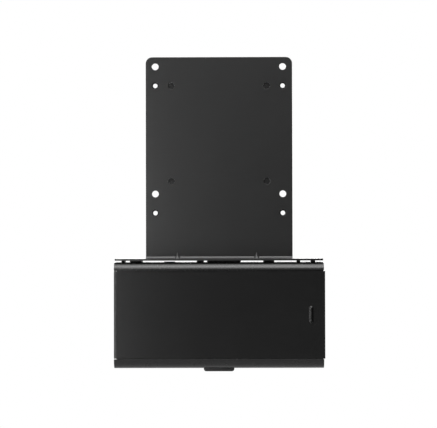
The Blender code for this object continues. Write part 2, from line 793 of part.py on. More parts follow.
def rivet(name, x, y, top, bottom, head_at_top, finish):
    """A flush rivet with one low head."""
    shank = RIVET_RADIUS
    head = RIVET_HEAD_RADIUS
    if head_at_top:
        profile = [(0, bottom), (shank, bottom), (shank, top), (head, top)]
        profile += [(RIVET_CROWN_RADIUS, top + RIVET_HEAD_HEIGHT), (0, top + RIVET_HEAD_HEIGHT)]
    else:
        crown = bottom - RIVET_HEAD_HEIGHT
        profile = [(0, crown), (RIVET_CROWN_RADIUS, crown)]
        profile += [(head, bottom), (shank, bottom), (shank, top), (0, top)]
    turned(name, profile, (x, y), "Z", finish, segments=16)


def rivets(finish):
    """The rivets that hold the tray, the bridge and the travel stop."""
    names = ("left", "inner_left", "centre", "inner_right", "right")
    y = (SPACER_FRONT + SPACER_REAR) / 2
    under_tray = TRAY_TOP - TRAY_SHEET - SPACER_GAP
    for name, x in zip(names, SHELF_RIVETS_X):
        rivet(f"shelf_rivet_{name}", x, y, SHELF_TOP - SPACER_GAP, under_tray, False, finish)
    under_stop = under_tray - TRAY_SHEET - SPACER_GAP
    x = (STOP_LEFT + STOP_RIGHT) / 2
    rivet("stop_rivet", x, STOP_RIVET_Y, TRAY_TOP - SPACER_GAP, under_stop, False, finish)
    over_foot = TRAY_BOTTOM + TRAY_SHEET + BRIDGE_SHEET + 2 * SPACER_GAP
    y = (BRIDGE_FRONT + BRIDGE_REAR) / 2
    for name, side in (("left", -1), ("right", 1)):
        low = TRAY_BOTTOM + SPACER_GAP
        rivet(f"latch_rivet_{name}", side * BRIDGE_RIVET_X, y, over_foot, low, True, finish)


def foam_pads(finish):
    """Pads on the rear wall, on either side of the vents."""
    rear = TRAY_REAR - TRAY_SHEET - SPACER_GAP
    for name, side in (("left", -1), ("right", 1)):
        ends = sorted((side * PAD_INNER_X, side * PAD_OUTER_X))
        low = (ends[0], rear - PAD_THICKNESS, PAD_BOTTOM)
        high = (ends[1], rear, PAD_TOP)
        block(f"foam_pad_{name}", low, high, finish)


def main():
    clear_scene()
    plate_paint = material("plate_black_paint", (0.022, 0.022, 0.023), 0.42, 0.0)
    tray_paint = material("tray_black_paint", (0.020, 0.020, 0.021), 0.40, 0.0)
    cover_paint = material("cover_black_paint", (0.018, 0.018, 0.019), 0.40, 0.0)
    zinc = material("zinc_steel", (0.10, 0.10, 0.10), 0.45, 1.0)
    nylon = material("black_nylon", (0.015, 0.015, 0.015), 0.5, 0.0)
    spring_steel = material("spring_steel", (0.45, 0.45, 0.46), 0.3, 1.0)
    foam = material("black_foam", (0.012, 0.012, 0.012), 0.95, 0.0)
    mounting_plate(plate_paint)
    clinch_nuts(zinc)
    clinch_studs(zinc)
    holder_tray(tray_paint)
    spacers(plate_paint)
    rivets(zinc)
    sliding_cover(cover_paint)
    release_button(nylon)
    latch_bracket(zinc)
    button_spring(spring_steel)
    glides(nylon)
    travel_stop(zinc)
    foam_pads(foam)


main()
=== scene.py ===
"""The looks of the computer holder bracket: fine meshes, finishes, studio and camera.

Sizes are in millimetres here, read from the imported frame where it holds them, and meshes
are scaled to metres. X points right, +Y to the rear and +Z up.
"""

import math

import bmesh
import bpy
from mathutils import Euler, Matrix, Vector
from mathutils.geometry import delaunay_2d_cdt


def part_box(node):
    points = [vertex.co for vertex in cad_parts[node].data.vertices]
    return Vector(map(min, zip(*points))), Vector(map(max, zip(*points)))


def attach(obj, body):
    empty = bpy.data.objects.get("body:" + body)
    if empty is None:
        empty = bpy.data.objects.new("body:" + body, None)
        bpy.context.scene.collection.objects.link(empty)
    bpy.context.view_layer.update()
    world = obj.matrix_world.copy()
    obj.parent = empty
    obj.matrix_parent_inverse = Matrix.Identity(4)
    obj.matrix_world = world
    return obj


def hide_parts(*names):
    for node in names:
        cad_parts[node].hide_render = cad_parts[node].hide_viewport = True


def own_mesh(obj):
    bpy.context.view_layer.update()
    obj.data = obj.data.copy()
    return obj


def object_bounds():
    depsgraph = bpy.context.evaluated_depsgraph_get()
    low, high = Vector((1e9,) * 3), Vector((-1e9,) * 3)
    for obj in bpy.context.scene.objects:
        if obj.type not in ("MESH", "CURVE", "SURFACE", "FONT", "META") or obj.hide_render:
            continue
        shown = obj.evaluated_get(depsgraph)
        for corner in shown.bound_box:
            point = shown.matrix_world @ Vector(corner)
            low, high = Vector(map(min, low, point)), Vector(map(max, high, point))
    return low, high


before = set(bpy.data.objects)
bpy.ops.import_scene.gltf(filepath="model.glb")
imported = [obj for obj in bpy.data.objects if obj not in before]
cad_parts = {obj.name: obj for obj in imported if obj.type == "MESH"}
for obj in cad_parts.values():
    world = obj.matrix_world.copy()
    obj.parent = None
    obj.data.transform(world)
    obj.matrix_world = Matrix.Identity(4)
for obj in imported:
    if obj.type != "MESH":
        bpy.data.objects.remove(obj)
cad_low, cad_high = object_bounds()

MM = 0.001


def box_mm(node):
    """A node's lowest and highest corner in millimetres."""
    low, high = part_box(node)
    return low / MM, high / MM


PLATE_LOW, PLATE_HIGH = box_mm("mounting_plate")
TRAY_LOW, TRAY_HIGH = box_mm("holder_tray")
COVER_LOW, COVER_HIGH = box_mm("sliding_cover")
BUTTON_LOW, BUTTON_HIGH = box_mm("release_button")
BRIDGE_LOW, BRIDGE_HIGH = box_mm("latch_bracket")
STOP_LOW, STOP_HIGH = box_mm("travel_stop")

# Mounting plate
PLATE_SHEET = 1.5
PLATE_HALF_WIDTH = 57.5
PLATE_CORNER = 5.0
PLATE_BEND = 2.0
SHELF_CORNER = 4.0
SHELF_WING_GAP = 1.0
LARGE_PATTERN = 100.0
SMALL_PATTERN = 75.0
PATTERN_DROP = 15.0
CLEARANCE_HOLE = 5.3
NUT_SEAT = 5.44
STUD_SEAT = 5.24
GUSSETS_X = (-32.7, 29.3)
GUSSET_REACH = 2.6
GUSSET_HALF_WIDTH = 2.9

# Tray
TRAY_SHEET = 1.2
LIP_RADIUS = 6.5
LIP_CENTRE_Y = -38.5
UPPER_LIP_LEAN = 18.0
UPPER_LIP_BEND = 0.8
UPPER_LIP_END = -109.7
LOWER_LIP_RADIUS = 6.4
LOWER_LIP_LEAN = 25.0
LOWER_LIP_EASE = 12.0
LOWER_LIP_END = -176.5
REAR_RADIUS = 2.5
TOP_RUN = 3
REAR_RUN = 5
FLOOR_RUN = 7
TAB_HALF_HEIGHT = 14.0
TAB_DEPTH = 18.0
TAB_RELIEF = 1.4
TAB_BEND = 1.6
VENT_LENGTH = 34.0
VENT_WIDTH = 5.0
VENT_PITCH = 13.0
RIVET_HOLE = 3.2

# Cover
COVER_SHEET = 1.0
COVER_TOP = -110.0
COVER_BOTTOM = -176.2
COVER_BEND = 0.8
COVER_FACE = -45.3
COVER_EDGE_RADIUS = 1.6
FLANGE_FACE = -42.2
FLANGE_LEFT = -77.6
FLANGE_RIGHT = 79.2
RETURN_LENGTH = 1.4
RETURN_TRIM_TOP = -169.5
RIB_X = 69.75
RIB_Z = -143.1
RIB_WIDTH = 3.6
RIB_HEIGHT = 13.4
FACE_RUN = 4
LOWER_WEB_RUN = 6
STRIP_SLIT = 0.03
STRIP_RAISE = 0.35

# Button
BUTTON_TAB_HALF = 11.6
BUTTON_FRONT = -39.2
BUTTON_REAR = -33.6
BUTTON_CORNER = 1.9
BUTTON_SHOULDER_LOW = -182.0
BUTTON_SHOULDER_TOP = -181.0
BUTTON_SHOULDER_EASE = 0.1
STEM_HALF = 4.0
STEM_FRONT = -40.8
STEM_REAR = -38.7
HOOK_BOTTOM = -174.8
HOOK_REAR = -39.0
WINDOW_GAP = 0.4

# Latch bridge and travel stop
BRIDGE_SHEET = 1.2
BRIDGE_BEND = 1.4
BRIDGE_HALF_WIDTH = 16.6
STOP_SHEET = 1.2
STOP_BEND = 1.2
STOP_WALL_Y = -37.7

SHEET_EDGE = 0.15
EDGE_STEPS = 3
BEND_STEP_DEG = 9.0


# ---------------------------------------------------------------- mesh tools

def finish_mesh(name, bm, materials, smooth_angle=40.0):
    """Turns a bmesh in millimetres into a smooth-shaded object in metres."""
    bmesh.ops.recalc_face_normals(bm, faces=bm.faces)
    bmesh.ops.scale(bm, vec=(MM, MM, MM), verts=bm.verts)
    mesh = bpy.data.meshes.new(name)
    bm.to_mesh(mesh)
    bm.free()
    mesh.shade_smooth()
    mesh.set_sharp_from_angle(angle=math.radians(smooth_angle))
    obj = bpy.data.objects.new(name, mesh)
    bpy.context.scene.collection.objects.link(obj)
    for made in materials:
        mesh.materials.append(made)
    weighted = obj.modifiers.new("weighted", "WEIGHTED_NORMAL")
    weighted.keep_sharp = True
    weighted.weight = 80
    return obj


def arc(centre, radius, start, end, steps):
    """Points along an arc, with angles in degrees from the first axis."""
    angles = [math.radians(start + (end - start) * i / steps) for i in range(steps + 1)]
    return [(centre[0] + radius * math.cos(a), centre[1] + radius * math.sin(a)) for a in angles]


def circle(centre, radius, steps=40):
    """Points around a circle."""
    return arc(centre, radius, 0, 360, steps)[:-1]


def slot(centre, half_width, half_length, steps=10):
    """An upright slot with round ends."""
    reach = half_length - half_width
    top = arc((centre[0], centre[1] + reach), half_width, 0, 180, steps)
    return top + arc((centre[0], centre[1] - reach), half_width, 180, 360, steps)


def rounded_loop(corners, radii, steps=8):
    """A closed outline whose corners are replaced by arcs, convex or concave."""
    loop = []
    count = len(corners)
    for i, corner in enumerate(corners):
        before = corners[i - 1]
        after = corners[(i + 1) % count]
        radius = radii[i] if isinstance(radii, (list, tuple)) else radii
        if radius == 0:
            loop.append(corner)
            continue
        arriving = math.atan2(corner[1] - before[1], corner[0] - before[0])
        leaving = math.atan2(after[1] - corner[1], after[0] - corner[0])
        turn = (leaving - arriving + math.pi) % (2 * math.pi) - math.pi
        side = math.copysign(1.0, turn)
        setback = radius * math.tan(abs(turn) / 2)
        start = (corner[0] - setback * math.cos(arriving), corner[1] - setback * math.sin(arriving))
        centre = (
            start[0] - side * radius * math.sin(arriving),
            start[1] + side * radius * math.cos(arriving),
        )
        for k in range(steps + 1):
            heading = arriving + turn * k / steps
            x = centre[0] + side * radius * math.sin(heading)
            y = centre[1] - side * radius * math.cos(heading)
            loop.append((x, y))
    return loop


def area(loop):
    """The signed area inside a closed outline."""
    return sum(a[0] * b[1] - b[0] * a[1] for a, b in zip(loop, loop[1:] + loop[:1])) / 2


def inset(loop, distance):
    """The closed loop moved to its left by distance."""
    moved = []
    count = len(loop)
    for i, point in enumerate(loop):
        before = loop[i - 1]
        after = loop[(i + 1) % count]
        a = (Vector(point) - Vector(before)).normalized()
        b = (Vector(after) - Vector(point)).normalized()
        normal = Vector((-(a.y + b.y), a.x + b.x))
        if normal.length < 1e-9:
            normal = Vector((-a.y, a.x))
        normal.normalize()
        cosine = max(0.3, normal.x * -a.y + normal.y * a.x)
        moved.append((point[0] + normal.x * distance / cosine, point[1] + normal.y * distance / cosine))
    return moved


def inside(point, loop):
    """True if the point is inside a closed loop."""
    crossings = False
    for a, b in zip(loop, loop[1:] + loop[:1]):
        if (a[1] > point[1]) != (b[1] > point[1]):
            across = a[0] + (point[1] - a[1]) * (b[0] - a[0]) / (b[1] - a[1])
            crossings ^= point[0] < across
    return crossings


def edge_rings(thickness, edge):
    """(inset, height) pairs down a sheet's rounded edge, from its top face to its bottom face."""
    half = thickness / 2
    upper = []
    for i in range(EDGE_STEPS + 1):
        turn = math.pi / 2 * i / EDGE_STEPS
        upper.append((edge * (1 - math.sin(turn)), half - edge * (1 - math.cos(turn))))
    return upper + [(back, -height) for back, height in reversed(upper)]


def sheet_blank(outer, holes, thickness, edge=SHEET_EDGE):
    """A flat sheet with holes and rounded edges, as a bmesh: across, along and through."""
    loops = [outer if area(outer) > 0 else outer[::-1]]
    loops += [hole if area(hole) < 0 else hole[::-1] for hole in holes]
    rings = edge_rings(thickness, edge)
    bm = bmesh.new()
    made = []
    for loop in loops:
        rows = []
        for back, height in rings:
            rows.append([bm.verts.new((x, y, height)) for x, y in inset(loop, back)])
        for upper, lower in zip(rows, rows[1:]):
            for i in range(len(loop)):
                j = (i + 1) % len(loop)
                bm.faces.new((upper[i], upper[j], lower[j], lower[i]))
        made.append(rows)
    flat_loops = [[tuple(v.co.xy) for v in rows[0]] for rows in made]
    triangles = fill(flat_loops)
    for row in (0, -1):
        verts = [v for rows in made for v in rows[row]]
        for triangle in triangles:
            bm.faces.new([verts[i] for i in triangle])
    return bm


def fill(loops):
    """Triangles between an outer loop and its holes, as indices into all their points."""
    points = [Vector(p) for loop in loops for p in loop]
    edges = []
    start = 0
    for loop in loops:
        count = len(loop)
        edges += [(start + i, start + (i + 1) % count) for i in range(count)]
        start += count
    verts, _, faces, origin, _, _ = delaunay_2d_cdt(points, edges, [], 0, 1e-7)
    if len(verts) != len(points):
        raise ValueError("the sheet's outlines cross each other")
    kept = []
    for face in faces:
        middle = sum((verts[i] for i in face), Vector((0, 0))) / len(face)
        if inside(middle, loops[0]) and not any(inside(middle, h) for h in loops[1:]):
            kept.append([origin[i][0] for i in face])
    return kept


def bisect(bm, place, axis):
    """Cuts every face along the plane where one coordinate has a value."""
    normal = [0.0, 0.0, 0.0]
    normal[axis] = 1.0
    point = [0.0, 0.0, 0.0]
    point[axis] = place
    everything = bm.verts[:] + bm.edges[:] + bm.faces[:]
    bmesh.ops.bisect_plane(bm, geom=everything, plane_co=point, plane_no=normal, dist=1e-5)


class Profile:
    """The middle line of a folded sheet: straight runs and bends, from a start and a heading."""

    def __init__(self, start, heading, moves):
        self.parts = []
        place = Vector(start)
        turn = math.radians(heading)
        along = 0.0
        for kind, amount, *radius in moves:
            length = amount
            if kind == "bend":
                length = abs(math.radians(amount)) * radius[0]
            self.parts.append((along, length, kind, place.copy(), turn, amount, radius))
            place, turn = self._end(self.parts[-1], length)
            along += length
        self.length = along

    @staticmethod
    def _end(part, distance):
        _, length, kind, place, turn, amount, radius = part
        if kind == "line":
            return place + Vector((math.cos(turn), math.sin(turn))) * distance, turn
        side = math.copysign(1.0, amount)
        centre = place + Vector((-math.sin(turn), math.cos(turn))) * side * radius[0]
        now = turn + math.radians(amount) * distance / length
        return centre + Vector((math.sin(now), -math.cos(now))) * side * radius[0], now

    def at(self, along):
        """The place and heading at a distance along the line."""
        chosen = self.parts[0]
        for part in self.parts:
            if along >= part[0] - 1e-6:
                chosen = part
        return self._end(chosen, along - chosen[0])

    def surface(self, along, through, crisp=0):
        """A point at a height above the line. A crisp bend's outer side comes to a tight corner."""
        place, turn = self.at(along)
        part = [p for p in self.parts if along >= p[0] - 1e-6][-1]
        out = Vector((-math.sin(turn), math.cos(turn)))
        if crisp and part[2] == "bend" and through * part[5] < 0:
            share = math.pi / 2 * (along - part[0]) / part[1]
            swell = (math.cos(share) ** crisp + math.sin(share) ** crisp) ** (-1 / crisp)
            radius = part[6][0] + abs(through)
            through += math.copysign(radius * (swell - 1), through)
        return place + out * through

    def run(self, part, distance, through):
        """A point on the straight continuation of a part."""
        place, turn = self._end(self.parts[part], distance)
        return place + Vector((-math.sin(turn), math.cos(turn))) * through

    def cuts(self):
        """Where the flat sheet is cut so that its bends turn smoothly."""
        places = []
        for along, length, kind, _, _, amount, _ in self.parts:
            if kind == "bend":
                steps = max(2, round(abs(amount) / BEND_STEP_DEG))
                places += [along + length * i / steps for i in range(steps + 1)]
        return [p for p in places if 1e-3 < p < self.length - 1e-3]


def fold(bm, profile, crisp=0, strip_end=None, strip_part=0):
    """Bends a flat sheet: across becomes X, and along follows the profile in Y and Z.

    A strip beyond strip_end stays in line with one of the profile's parts.
    """
    for place in profile.cuts():
        bisect(bm, place, 1)
    for vert in bm.verts:
        across, along, through = vert.co
        if strip_end is not None and across < strip_end:
            spot = profile.run(strip_part, along - profile.parts[strip_part][0], through)
        else:
            spot = profile.surface(along, through, crisp)
        vert.co = (across, spot.x, spot.y)


def fold_side(bm, start, radius, side, toward, along_range):
    """Folds what lies beyond start, on one side, a quarter turn towards one face of the sheet."""
    quarter = radius * math.pi / 2
    steps = 8
    for i in range(steps + 1):
        bisect(bm, side * (start + quarter * i / steps), 0)
    for vert in bm.verts:
        beyond = side * vert.co.x - start
        if beyond <= 1e-5 or not along_range[0] <= vert.co.y <= along_range[1]:
            continue
        turn = min(beyond, quarter) / radius
        rest = max(0.0, beyond - quarter)
        height = toward * vert.co.z
        x = start + (radius - height) * math.sin(turn) + rest * math.cos(turn)
        up = radius - (radius - height) * math.cos(turn) + rest * math.sin(turn)
        vert.co.x = side * x
        vert.co.z = toward * up


def spin(bm, profile, centre, axis, segments=40, bored=False):
    """Adds a turned shape: (radius, place along the axis) points spun about an axis."""
    rings = []
    for radius, along in profile:
        if radius == 0:
            rings.append([bm.verts.new(place_on(axis, along, centre))] * segments)
            continue
        ring = []
        for i in range(segments):
            turn = 2 * math.pi * i / segments
            spot = (centre[0] + radius * math.cos(turn), centre[1] + radius * math.sin(turn))
            ring.append(bm.verts.new(place_on(axis, along, spot)))
        rings.append(ring)
    pairs = list(zip(rings, rings[1:]))
    if bored:
        pairs.append((rings[-1], rings[0]))
    for here, there in pairs:
        for i in range(segments):
            j = (i + 1) % segments
            corners = list(dict.fromkeys((here[i], here[j], there[j], there[i])))
            bm.faces.new(corners)


def place_on(axis, along, spot):
    """A point from its place along an axis and its other two coordinates, in X, Y, Z order."""
    if axis == "X":
        return (along, spot[0], spot[1])
    if axis == "Y":
        return (spot[0], along, spot[1])
    return (spot[0], spot[1], along)


def stand(bm, axis, middle):
    """Turns a flat sheet's (across, along, through) into a plate facing an axis."""
    for vert in bm.verts:
        a, b, through = vert.co
        vert.co = place_on(axis, middle + through, (a, b))


def keep(piece, body, slot_name, *nodes):
    """Puts a piece on its body in place of its CAD nodes."""
    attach(piece, body)
    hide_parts(*nodes)
    return piece


# ---------------------------------------------------------------- finishes

def new_material(name):
    """A new material with its nodes, its links and its shader."""
    made = bpy.data.materials.new(name)
    made.use_nodes = True
    nodes = made.node_tree.nodes
    return made, nodes, made.node_tree.links, nodes["Principled BSDF"]


def noise(nodes, links, source, scale, detail=3.0, roughness=0.55):
    """A noise texture in object coordinates."""
    made = nodes.new("ShaderNodeTexNoise")
    made.inputs["Scale"].default_value = scale
    made.inputs["Detail"].default_value = detail
    made.inputs["Roughness"].default_value = roughness
    links.new(source, made.inputs["Vector"])
    return made.outputs["Fac"]


def remap(nodes, links, value, low, high, from_low=0.3, from_high=0.7):
    """Maps a range of values to another one, clamped."""
    made = nodes.new("ShaderNodeMapRange")
    made.inputs["From Min"].default_value = from_low
    made.inputs["From Max"].default_value = from_high
    made.inputs["To Min"].default_value = low
    made.inputs["To Max"].default_value = high
    links.new(value, made.inputs["Value"])
    return made.outputs["Result"]


def blend_colours(nodes, links, factor, first, second):
    """Mixes two colours by a factor."""
    made = nodes.new("ShaderNodeMix")
    made.data_type = "RGBA"
    made.inputs["A"].default_value = (*first, 1.0)
    made.inputs["B"].default_value = (*second, 1.0)
    links.new(factor, made.inputs["Factor"])
    return made.outputs["Result"]


def coordinates(nodes, links, stretch=(1.0, 1.0, 1.0)):
    """Object coordinates, stretched along the axes."""
    source = nodes.new("ShaderNodeTexCoord")
    mapping = nodes.new("ShaderNodeMapping")
    mapping.inputs["Scale"].default_value = stretch
    links.new(source.outputs["Object"], mapping.inputs["Vector"])
    return mapping.outputs["Vector"]


def bump(nodes, links, height, distance, strength, under=None):
    """A bump that tilts the normal by a height, on top of another one if given."""
    made = nodes.new("ShaderNodeBump")
    made.inputs["Strength"].default_value = strength
    made.inputs["Distance"].default_value = distance
    links.new(height, made.inputs["Height"])
    if under:
        links.new(under, made.inputs["Normal"])
    return made.outputs["Normal"]


def grey(level):
    """A neutral colour."""
    return (level, level, level)


def powder_coat(name, dark, light, roughness, specular, grain):
    """Semi-matt black powder coat: orange peel, fine speckle and faint rolling marks."""
    made, nodes, links, shader = new_material(name)
    plain = coordinates(nodes, links)
    rolled = coordinates(nodes, links, (0.25, 1.0, 1.6))
    cloudy = noise(nodes, links, plain, 38.0, 4.0)
    streaks = noise(nodes, links, rolled, 260.0, 5.0, 0.6)
    speckle = noise(nodes, links, plain, 2600.0, 2.0, 0.7)
    peel = noise(nodes, links, plain, 900.0, 2.0, 0.5)
    mixed = nodes.new("ShaderNodeMath")
    mixed.operation = "MULTIPLY_ADD"
    mixed.inputs[1].default_value = 0.55
    links.new(streaks, mixed.inputs[0])
    half = nodes.new("ShaderNodeMath")
    half.operation = "MULTIPLY"
    half.inputs[1].default_value = 0.45
    links.new(cloudy, half.inputs[0])
    links.new(half.outputs[0], mixed.inputs[2])
    colour = blend_colours(nodes, links, remap(nodes, links, mixed.outputs[0], 0, 1), dark, light)
    links.new(colour, shader.inputs["Base Color"])
    mottle = noise(nodes, links, plain, 620.0, 3.0, 0.6)
    rough = remap(nodes, links, mottle, roughness - 0.05 * grain, roughness + 0.05 * grain)
    links.new(rough, shader.inputs["Roughness"])
    shader.inputs["Specular IOR Level"].default_value = specular
    fine = bump(nodes, links, speckle, 0.00001, 0.15 * grain)
    links.new(bump(nodes, links, peel, 0.00002, 0.05 * grain, fine), shader.inputs["Normal"])
    return made


def metal(name, colour, darker, roughness, scale=420.0, stretch=(1.0, 1.0, 1.0)):
    """Plated or drawn steel with fine marks and slight tarnish."""
    made, nodes, links, shader = new_material(name)
    lines = coordinates(nodes, links, stretch)
    marks = noise(nodes, links, lines, scale, 5.0, 0.65)
    tarnish = noise(nodes, links, coordinates(nodes, links), 150.0, 3.0)
    tint = blend_colours(nodes, links, remap(nodes, links, tarnish, 0, 1), darker, colour)
    links.new(tint, shader.inputs["Base Color"])
    shader.inputs["Metallic"].default_value = 1.0
    links.new(remap(nodes, links, marks, roughness - 0.08, roughness + 0.1), shader.inputs["Roughness"])
    links.new(bump(nodes, links, marks, 0.00002, 0.3), shader.inputs["Normal"])
    return made


def moulded(name, dark, light, roughness):
    """Moulded nylon with a spark-eroded surface."""
    made, nodes, links, shader = new_material(name)
    plain = coordinates(nodes, links)
    grain = noise(nodes, links, plain, 2200.0, 3.0, 0.7)
    flow = noise(nodes, links, plain, 90.0, 2.0)
    tint = blend_colours(nodes, links, remap(nodes, links, flow, 0, 1), dark, light)
    links.new(tint, shader.inputs["Base Color"])
    links.new(remap(nodes, links, grain, roughness - 0.06, roughness + 0.08), shader.inputs["Roughness"])
    shader.inputs["Specular IOR Level"].default_value = 0.45
    links.new(bump(nodes, links, grain, 0.00003, 0.4), shader.inputs["Normal"])
    return made


def foam(name):
    """Closed-cell foam with small open pores in its skin, each pore painted darker towards its bottom as
    shade.
    """
    made, nodes, links, shader = new_material(name)
    plain = coordinates(nodes, links)
    cells = nodes.new("ShaderNodeTexVoronoi")
    cells.inputs["Scale"].default_value = 1400.0
    links.new(plain, cells.inputs["Vector"])
    pore_pits_and_shade = remap(nodes, links, cells.outputs["Distance"], 0.0, 1.0, 0.15, 0.6)
    # The colour darkens towards each pore's bottom: painted shade in the pits.
    tint = blend_colours(nodes, links, pore_pits_and_shade, (0.006, 0.006, 0.006), (0.022, 0.022, 0.023))
    links.new(tint, shader.inputs["Base Color"])
    shader.inputs["Roughness"].default_value = 0.92
    shader.inputs["Specular IOR Level"].default_value = 0.25
    links.new(bump(nodes, links, pore_pits_and_shade, 0.00015, 0.6), shader.inputs["Normal"])
    return made


# One black powder coat in three copies. Colour and gloss are lightest on the plate copy and darkest on the
# cover copy: painted light and painted shade for how each part faces the lamps.
COAT_LIT_COPY = powder_coat("powder_coat_lit_copy", grey(0.0070), grey(0.0100), 0.30, 0.62, 0.5)
COAT_HALF_SHADED_COPY = powder_coat("powder_coat_half_shaded_copy", grey(0.0060), grey(0.0085), 0.26, 0.5, 0.5)
COAT_SHADED_COPY = powder_coat("powder_coat_shaded_copy", grey(0.0035), grey(0.0055), 0.25, 0.40, 0.45)
BLACK_ZINC = metal("blackened_zinc", (0.016, 0.016, 0.017), (0.007, 0.007, 0.0075), 0.36)
SPRING_WIRE = metal("spring_wire", (0.55, 0.55, 0.56), (0.32, 0.32, 0.33), 0.28, 600.0, (1.0, 1.0, 0.2))
NYLON = moulded("black_nylon_moulded", (0.010, 0.010, 0.0105), (0.017, 0.017, 0.0175), 0.48)
FOAM = foam("black_foam_cells")


# ---------------------------------------------------------------- mounting plate

def pattern(spacing, drop=0.0):
    """The four corners of a square hole pattern, lowered by drop."""
    half = spacing / 2
    return [(x, z - drop) for x in (-half, half) for z in (half, -half)]


def stud_places():
    """Where the studs stand, in x and z."""
    return pattern(SMALL_PATTERN, PATTERN_DROP - (LARGE_PATTERN - SMALL_PATTERN) / 2)


def place_name(x, z, middle):
    """The part of a node's name that says where it is."""
    return ("upper" if z > middle else "lower") + ("_left" if x < 0 else "_right")


def rivet_places(prefix):
    """(name, x, y) of the rivets whose names start with prefix, from the frame."""
    found = []
    for name in sorted(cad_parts):
        if name.startswith(prefix):
            low, high = box_mm(name)
            found.append((name, (low.x + high.x) / 2, (low.y + high.y) / 2))
    return found


def plate_profile():
    """The plate's upright, its bend and its shelf."""
    half = PLATE_SHEET / 2
    radius = PLATE_BEND + half
    shelf = PLATE_LOW.z + half
    moves = [
        ("line", PLATE_HIGH.z - shelf - radius),
        ("bend", -90, radius),
        ("line", -half - radius - PLATE_LOW.y),
    ]
    return Profile((-half, PLATE_HIGH.z), -90, moves)


def mounting_plate():
    """The plate and shelf, cut flat with its holes and then bent."""
    profile = plate_profile()
    wing = profile.parts[2][0] + SHELF_WING_GAP
    shelf_half = PLATE_HIGH.x
    plate_half = PLATE_HALF_WIDTH
    corners = [
        (-plate_half, 0), (-plate_half, wing), (-shelf_half, wing), (-shelf_half, profile.length),
        (shelf_half, profile.length), (shelf_half, wing), (plate_half, wing), (plate_half, 0),
    ]
    radii = [PLATE_CORNER, 0.6, 1.0, SHELF_CORNER, SHELF_CORNER, 1.0, 0.6, PLATE_CORNER]
    top = PLATE_HIGH.z
    holes = [circle((x, top - z), CLEARANCE_HOLE / 2) for x, z in pattern(LARGE_PATTERN)]
    holes += [circle((x, top - z), NUT_SEAT / 2) for x, z in pattern(LARGE_PATTERN, PATTERN_DROP)]
    holes += [circle((x, top - z), STUD_SEAT / 2) for x, z in stud_places()]
    for _, x, y in rivet_places("shelf_rivet"):
        along = profile.parts[2][0] + (profile.at(profile.parts[2][0])[0].x - y)
        holes.append(circle((x, along), RIVET_HOLE / 2, 24))
    bm = sheet_blank(rounded_loop(corners, radii), holes, PLATE_SHEET)
    fold(bm, profile)
    for x in GUSSETS_X:
        add_gusset(bm, profile, x)
    piece = finish_mesh("plate_with_shelf", bm, [COAT_LIT_COPY])
    return keep(piece, "bracket", "black_paint", "mounting_plate")


def add_gusset(bm, profile, centre_x):
    """A smooth dimple pressed across the bend, as a closed shell let into the sheet."""
    bend = profile.parts[1]
    start = bend[0] - GUSSET_REACH
    end = bend[0] + bend[1] + GUSSET_REACH
    face = -PLATE_SHEET / 2
    first = surface_point(profile, start, face)
    last = surface_point(profile, end, face)
    rows = 18
    columns = 14
    front = []
    back = []
    for i in range(rows + 1):
        share = i / rows
        base = surface_point(profile, start + (end - start) * share, face + 0.05)
        sunk = surface_point(profile, start + (end - start) * share, face + 0.45)
        chord = first.lerp(last, share)
        swell = min(1.0, share / 0.7)
        width = GUSSET_HALF_WIDTH * (0.2 + 0.8 * swell)
        front.append([])
        back.append([])
        for k in range(columns + 1):
            across = -1 + 2 * k / columns
            rise = math.cos(math.pi / 2 * across) ** 1.1
            spot = base.lerp(chord + (chord - base) * 0.08, rise)
            x = centre_x + across * width
            front[-1].append(bm.verts.new((x, spot.x, spot.y)))
            back[-1].append(bm.verts.new((x, sunk.x, sunk.y)))
    for rows_of in (front, back):
        for i in range(rows):
            for k in range(columns):
                quad = (rows_of[i][k], rows_of[i][k + 1], rows_of[i + 1][k + 1], rows_of[i + 1][k])
                bm.faces.new(quad)
    border = [(0, k) for k in range(columns)] + [(i, columns) for i in range(rows)]
    border += [(rows, k) for k in range(columns, 0, -1)] + [(i, 0) for i in range(rows, 0, -1)]
    for (i, k), (m, n) in zip(border, border[1:] + border[:1]):
        bm.faces.new((front[i][k], front[m][n], back[m][n], back[i][k]))


def surface_point(profile, along, through):
    """A point on a profile's sheet, given along it and through its thickness."""
    place, turn = profile.at(along)
    return place + Vector((-math.sin(turn), math.cos(turn))) * through


def clinch_nuts():
    """Flush threaded inserts: a plain ring with a countersunk, threaded bore."""
    for x, z in pattern(LARGE_PATTERN, PATTERN_DROP):
        node = "clinch_nut_" + place_name(x, z, -PATTERN_DROP)
        low, high = box_mm(node)
        outer = (high.x - low.x) / 2
        bore = 1.8
        profile = [(bore + 0.35, low.y), (outer - 0.15, low.y), (outer, low.y + 0.15)]
        profile += [(outer, high.y - 0.1), (outer - 0.1, high.y), (bore + 0.2, high.y)]
        turns = 2
        pitch = (high.y - low.y - 0.5) / turns
        for i in range(turns):
            start = high.y - 0.2 - i * pitch
            profile += [(bore, start), (bore, start - pitch * 0.2), (bore + 0.22, start - pitch * 0.5)]
        profile += [(bore, low.y + 0.35)]
        bm = bmesh.new()
        spin(bm, profile, (x, z), "Y", bored=True)
        # The inserts take the darkest coat copy: painted shade for their seats set back in the plate.
        piece = finish_mesh(node.replace("clinch_nut", "threaded_insert"), bm, [COAT_SHADED_COPY], 30)
        keep(piece, "bracket", "zinc_steel", node)


